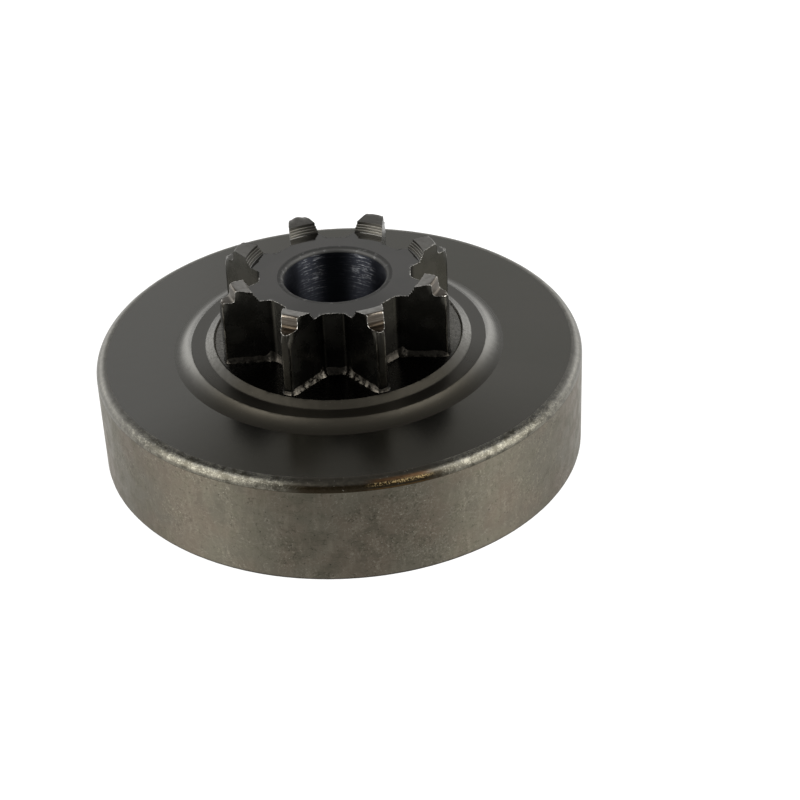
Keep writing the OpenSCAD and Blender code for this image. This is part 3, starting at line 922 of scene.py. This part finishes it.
def make_braze():
    """The filler metal, as one lumpy closed bead round the foot of all teeth."""
    sunk = 0.03
    bottom = [(-sunk, -sunk), (0.55, -sunk), (1.0, 0.0)]
    slope = [(0.84, 0.10), (0.58, 0.24), (0.36, 0.44), (0.16, 0.74)]
    section = bottom + slope + [(0.0, 1.0), (-sunk, 0.55)]
    spacing = [11.8 + 0.35 * k for k in range(17)]
    stations = star_stations(0.0, spacing)
    points, faces = [], []
    for x, y, nx, ny in stations:
        reach = math.hypot(x, y)
        corner = math.exp(-((reach - 11.6) / 0.5) ** 2)
        at_tip = math.exp(-((reach - TIP_R) / 0.35) ** 2)
        lump = ripple(x, y, 0.0, 1.1, 7) + 0.6 * ripple(x, y, 0.0, 0.45, 8)
        width = 0.42 * (1 + 0.20 * lump) * (1 + 0.35 * corner) * (1 - 0.45 * at_tip)
        height = (0.85 + 0.14 * lump) * (1 + 0.7 * corner) * (1 - 0.35 * at_tip)
        for w, h in section:
            bump = 1 + (0.10 * ripple(x + w, y, h * 2.0, 0.4, 9) if 0.05 < w < 0.95 else 0.0)
            out = w * width * bump if w > 0 else w
            up = h * height * bump if h > 0 else h
            points.append((x + nx * out, y + ny * out, SEAT_Z + up))
    count, corners = len(stations), len(section)
    for i in range(count):
        k = (i + 1) % count
        for j in range(corners):
            m = (j + 1) % corners
            faces.append((i * corners + j, i * corners + m, k * corners + m, k * corners + j))
    new_piece("braze_bead", points, faces, [0] * len(faces), [BRAZE], "braze_fillet", 60)


# Studio


def photo_camera():
    """The camera of the photograph: its place, its roll and where the drum's middle falls in the frame."""
    frame_px = 800.0
    focal_px = 2069.0
    aim_px = (341.7, 388.1)
    sensor = 36.0
    aim = Vector((0.0, 0.0, WEB_Z / 2)) * MM
    distance = 311.8 * MM
    roll = Matrix.Rotation(math.radians(3.51), 3, "Z")
    back = Vector((cosd(CAMERA_EL) * cosd(CAMERA_AZ), cosd(CAMERA_EL) * sind(CAMERA_AZ), sind(CAMERA_EL)))
    right = (-back).cross(Vector((0, 0, 1))).normalized()
    up = right.cross(-back)
    target = Vector(((aim_px[0] - frame_px / 2) / focal_px, -(aim_px[1] - frame_px / 2) / focal_px, -1.0))
    turn = Vector((0, 0, -1)).rotation_difference(target).to_matrix()
    seen = turn @ roll @ Matrix((right, up, back))
    data = bpy.data.cameras.new("photo_camera")
    data.sensor_width = sensor
    data.lens = focal_px * sensor / frame_px
    data.clip_start = 0.01
    camera = bpy.data.objects.new("photo_camera", data)
    camera.matrix_world = Matrix.Translation(aim + back * distance) @ seen.transposed().to_4x4()
    bpy.context.scene.collection.objects.link(camera)
    bpy.context.scene.camera = camera


def softbox(name, aside):
    """An area lamp that looks at the object from an azimuth aside of the camera's."""
    data = bpy.data.lights.new(name, "AREA")
    data.shape = "RECTANGLE"
    data.size, data.size_y = SOFTBOX_SIZE_M
    data.energy = SOFTBOX_POWER
    data.color = SOFTBOX_COLOUR
    lamp = bpy.data.objects.new(name, data)
    a = CAMERA_AZ + aside
    out = Vector((cosd(SOFTBOX_EL) * cosd(a), cosd(SOFTBOX_EL) * sind(a), sind(SOFTBOX_EL)))
    lamp.location = out * SOFTBOX_AWAY_M + Vector((0, 0, 0.015))
    lamp.rotation_mode = "QUATERNION"
    lamp.rotation_quaternion = out.to_track_quat("Z", "Y")
    bpy.context.scene.collection.objects.link(lamp)


def studio_world():
    """A pale sweep with two white cards low behind the object, a darker ceiling and a dark near side."""
    world = bpy.data.worlds.new("studio")
    bpy.context.scene.world = world
    world.use_nodes = True
    tree = world.node_tree
    tree.nodes.clear()
    ray = add(tree, "ShaderNodeTexCoord").outputs["Generated"]
    parts = add(tree, "ShaderNodeSeparateXYZ", {0: ray})
    high = parts.outputs[2]
    to_camera = (cosd(CAMERA_AZ), sind(CAMERA_AZ), 0.0)
    to_right = (-sind(CAMERA_AZ), cosd(CAMERA_AZ), 0.0)
    facing = along(tree, ray, to_camera)
    across = calc(tree, "ABSOLUTE", along(tree, ray, to_right))
    sweep = times(tree, ramp(tree, high, 0.02, 0.44, 0.9, 0.56), ramp(tree, high, 0.52, 0.85, 1.0, 0.30))
    dark_side = ramp(tree, facing, -0.05, 0.4, 1.0, 0.18)
    sides = times(tree, ramp(tree, facing, -0.80, -0.40, 0.0, 0.8), ramp(tree, high, 0.75, 0.45))
    sides = calc(tree, "ADD", sides, 1.0)
    cards = times(tree, ramp(tree, across, 0.22, 0.42), ramp(tree, across, 0.95, 0.75))
    cards = times(tree, cards, times(tree, ramp(tree, high, 0.02, 0.14), ramp(tree, high, 0.52, 0.34)))
    light = calc(tree, "ADD", times(tree, sweep, sides), times(tree, cards, 1.3))
    light = times(tree, light, dark_side)
    room = add(tree, "ShaderNodeBackground", {"Color": rgb(1.0, 0.99, 0.97), "Strength": light})
    white = add(tree, "ShaderNodeBackground", {"Color": rgb(1, 1, 1), "Strength": 1.0})
    seen = add(tree, "ShaderNodeLightPath").outputs["Is Camera Ray"]
    mix = add(tree, "ShaderNodeMixShader", {0: seen, 1: room.outputs[0], 2: white.outputs[0]})
    add(tree, "ShaderNodeOutputWorld", {"Surface": mix.outputs[0]})


def make_floor():
    """A pale floor that keeps the object's shadow, with a painted shadow below the bore, painted shade in
    front of the object for reflections, and clear from below.
    """
    corners = [(FLOOR_HALF_M * i, FLOOR_HALF_M * j, 0) for i, j in ((-1, -1), (1, -1), (1, 1), (-1, 1))]
    mesh = bpy.data.meshes.new("floor")
    mesh.from_pydata(corners, [], [(0, 1, 2, 3)])
    material = bpy.data.materials.new("pale_floor")
    material.use_nodes = True
    tree = material.node_tree
    tree.nodes.clear()
    matt = add(tree, "ShaderNodeBsdfDiffuse", {"Color": rgb(0.86, 0.86, 0.85)})
    path = add(tree, "ShaderNodeLightPath")
    here = add(tree, "ShaderNodeTexCoord").outputs["Object"]
    front = along(tree, here, (cosd(CAMERA_AZ), sind(CAMERA_AZ), 0.0))
    # Painted shade: reflections see the floor darker in front of the object.
    front_shade = ramp(tree, front, -0.01, 0.07, 0.92, 0.40)
    out = add(tree, "ShaderNodeVectorMath", {0: here}, operation="LENGTH").outputs["Value"]
    # Painted shadow: a dark disc on the floor below the bore.
    shadow_disc = ramp(tree, out, SHADOW_DISC_R * MM, SHADOW_DISC_R * 0.7 * MM)
    bright = blend_colour(tree, path.outputs["Is Camera Ray"], front_shade, rgb(1.25, 1.25, 1.25))
    bright = blend_colour(tree, shadow_disc, bright, rgb(0.03, 0.03, 0.03))
    glow = add(tree, "ShaderNodeEmission", {"Color": bright, "Strength": 1.0})
    seen = calc(tree, "MAXIMUM", path.outputs["Is Camera Ray"], path.outputs["Is Glossy Ray"])
    seen = times(tree, calc(tree, "MAXIMUM", seen, path.outputs["Is Transmission Ray"]), 0.72)
    mix = add(tree, "ShaderNodeMixShader", {0: seen, 1: matt.outputs[0], 2: glow.outputs[0]})
    below = add(tree, "ShaderNodeNewGeometry").outputs["Backfacing"]
    clear = add(tree, "ShaderNodeBsdfTransparent")
    one_sided = add(tree, "ShaderNodeMixShader", {0: below, 1: mix.outputs[0], 2: clear.outputs[0]})
    add(tree, "ShaderNodeOutputMaterial", {"Surface": one_sided.outputs[0]})
    mesh.materials.append(material)
    floor = bpy.data.objects.new("floor", mesh)
    bpy.context.scene.collection.objects.link(floor)


make_drum()
make_sprocket()
make_braze()
photo_camera()
studio_world()
make_floor()
softbox("softbox_left", -SOFTBOX_ASIDE)
softbox("softbox_right", SOFTBOX_ASIDE)

bpy.context.scene.view_settings.view_transform = "Standard"
